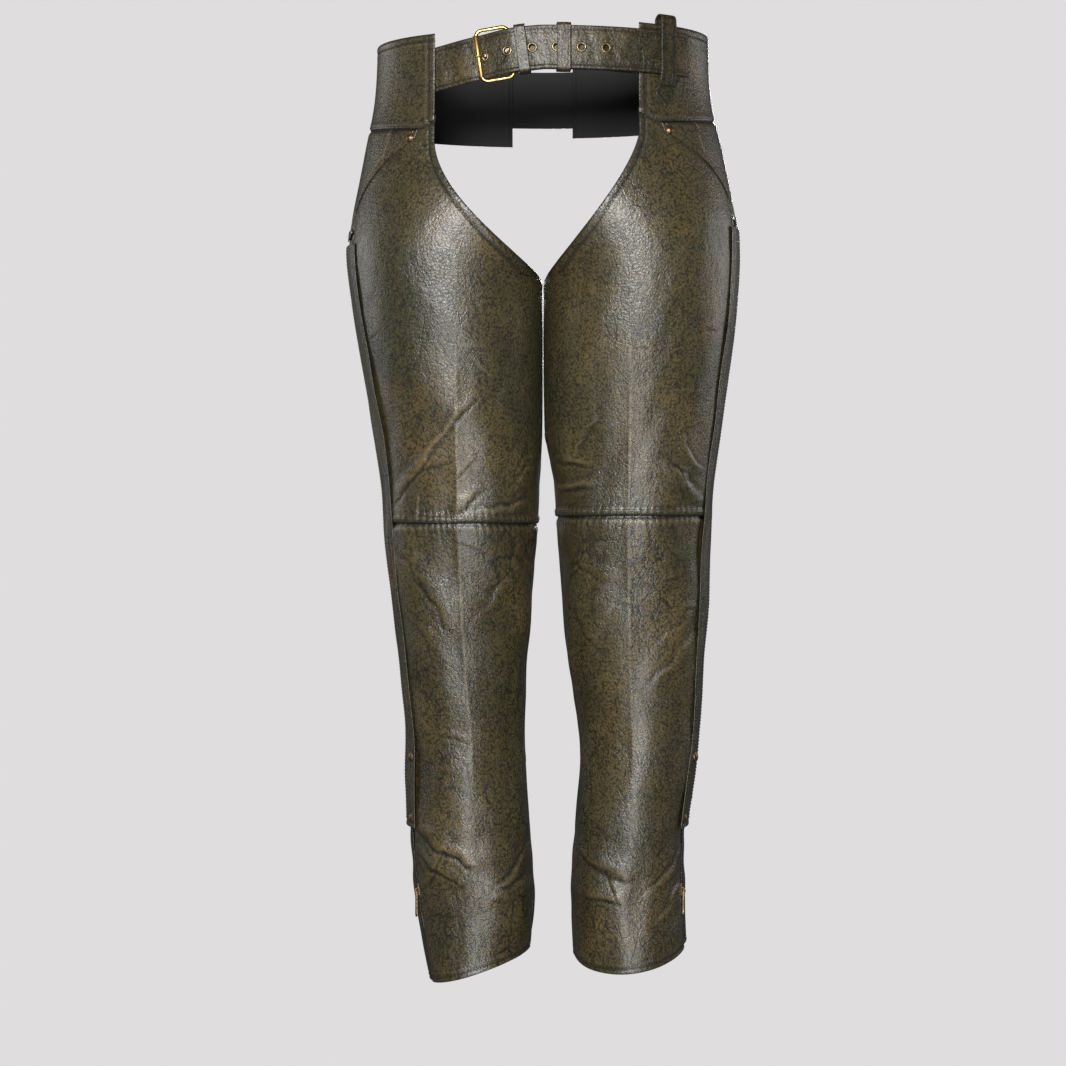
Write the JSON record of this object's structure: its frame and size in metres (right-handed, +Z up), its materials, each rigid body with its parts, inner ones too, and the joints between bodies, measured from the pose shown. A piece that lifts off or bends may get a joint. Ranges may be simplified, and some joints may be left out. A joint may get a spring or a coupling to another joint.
{
  "type": "riding chaps",
  "caption": "Full-length leather riding chaps: two zip-up legs hung from hip yokes and closed in front by a belt with a roller buckle.",
  "frame": {"origin": "middle of the wearer's waist, level with the top edge of the belt in front", "axes": "+Z up, -Y to the front, +X to the wearer's left"},
  "size_m": [0.4298, 0.2445, 1.0436],
  "materials": {
    "olive_leather": "antiqued olive-brown, semi-gloss",
    "belt_leather": "antiqued olive-brown, creased",
    "black_lining": "satin",
    "zip_tape": "matt",
    "aged_brass": "aged",
    "copper_rivet": "aged copper"
  },
  "bodies": {
    "leather": {"right_hip_yoke": "olive_leather", "right_back_yoke": "olive_leather", "right_side_panel": "olive_leather", "right_pocket_welt": "olive_leather", "right_pocket_bag": "black_lining", "right_pocket_rivet": "copper_rivet", "right_front_thigh": "olive_leather", "right_back_thigh": "olive_leather", "right_front_shin": "olive_leather", "right_back_shin": "olive_leather", "right_thigh_lining": "black_lining", "right_zip_front_half": "zip_tape", "right_zip_back_half": "zip_tape", "right_zip_flap": "olive_leather", "right_upper_snap": "aged_brass", "right_lower_snap": "aged_brass", "left_hip_yoke": "olive_leather", "left_back_yoke": "olive_leather", "left_side_panel": "olive_leather", "left_pocket_welt": "olive_leather", "left_pocket_bag": "black_lining", "left_pocket_rivet": "copper_rivet", "left_front_thigh": "olive_leather", "left_back_thigh": "olive_leather", "left_front_shin": "olive_leather", "left_back_shin": "olive_leather", "left_thigh_lining": "black_lining", "left_zip_front_half": "zip_tape", "left_zip_back_half": "zip_tape", "left_zip_flap": "olive_leather", "left_upper_snap": "aged_brass", "left_lower_snap": "aged_brass", "belt_eyelet_1": "aged_brass", "belt_eyelet_2": "aged_brass", "belt_eyelet_3": "aged_brass", "belt_eyelet_4": "aged_brass", "belt_eyelet_5": "aged_brass", "belt_eyelet_6": "aged_brass", "belt_tongue": "belt_leather", "buckle_strap": "belt_leather", "keeper_fixed": "belt_leather", "belt_loop": "belt_leather", "back_band": "olive_leather", "back_rivet_right_upper": "copper_rivet", "back_rivet_right_lower": "copper_rivet", "back_rivet_left_upper": "copper_rivet", "back_rivet_left_lower": "copper_rivet"},
    "buckle": {"buckle_frame": "aged_brass"},
    "buckle_roller": {"buckle_roller": "aged_brass"},
    "buckle_prong": {"buckle_prong": "aged_brass"},
    "keeper": {"keeper_sliding": "belt_leather"},
    "right_zip_slider": {"right_zip_slider": "aged_brass"},
    "right_zip_pull": {"right_zip_pull": "aged_brass"},
    "left_zip_slider": {"left_zip_slider": "aged_brass"},
    "left_zip_pull": {"left_zip_pull": "aged_brass"}
  },
  "joints": [
    {"name": "buckle_swing", "type": "hinge", "parent": "leather", "child": "buckle", "pos_m": [-0.03388, -0.10974, -0.02803], "axis": [-0.1482, 0.0123, 0.9889], "range_deg": [0, 2]},
    {"name": "roller_spin", "type": "hinge", "parent": "buckle", "child": "buckle_roller", "pos_m": [-0.06837, -0.10687, -0.03324], "axis": [-0.1482, 0.0123, 0.9889], "continuous": true},
    {"name": "prong_lift", "type": "hinge", "parent": "buckle", "child": "buckle_prong", "pos_m": [-0.03388, -0.10974, -0.02803], "axis": [-0.1482, 0.0123, 0.9889], "range_deg": [0, 2]},
    {"name": "keeper_slide", "type": "slide", "parent": "leather", "child": "keeper", "axis": [0.9972, 0.0741, 0], "range_m": [-0.01, 0.01]},
    {"name": "right_zip_slide", "type": "slide", "parent": "leather", "child": "right_zip_slider", "axis": [-0.1282, 0.0483, 0.9906], "range_m": [0, 0.03]},
    {"name": "right_pull_swing", "type": "hinge", "parent": "right_zip_slider", "child": "right_zip_pull", "pos_m": [-0.13891, -0.00971, -0.92867], "axis": [-0.2287, 0.9735, 0], "range_deg": [0, 90]},
    {"name": "left_zip_slide", "type": "slide", "parent": "leather", "child": "left_zip_slider", "axis": [-0.0001, 0.0498, 0.9988], "range_m": [0, 0.03]},
    {"name": "left_pull_swing", "type": "hinge", "parent": "left_zip_slider", "child": "left_zip_pull", "pos_m": [0.15431, -0.00982, -0.92811], "axis": [-0.2206, -0.9754, 0], "range_deg": [0, 90]}
  ]
}
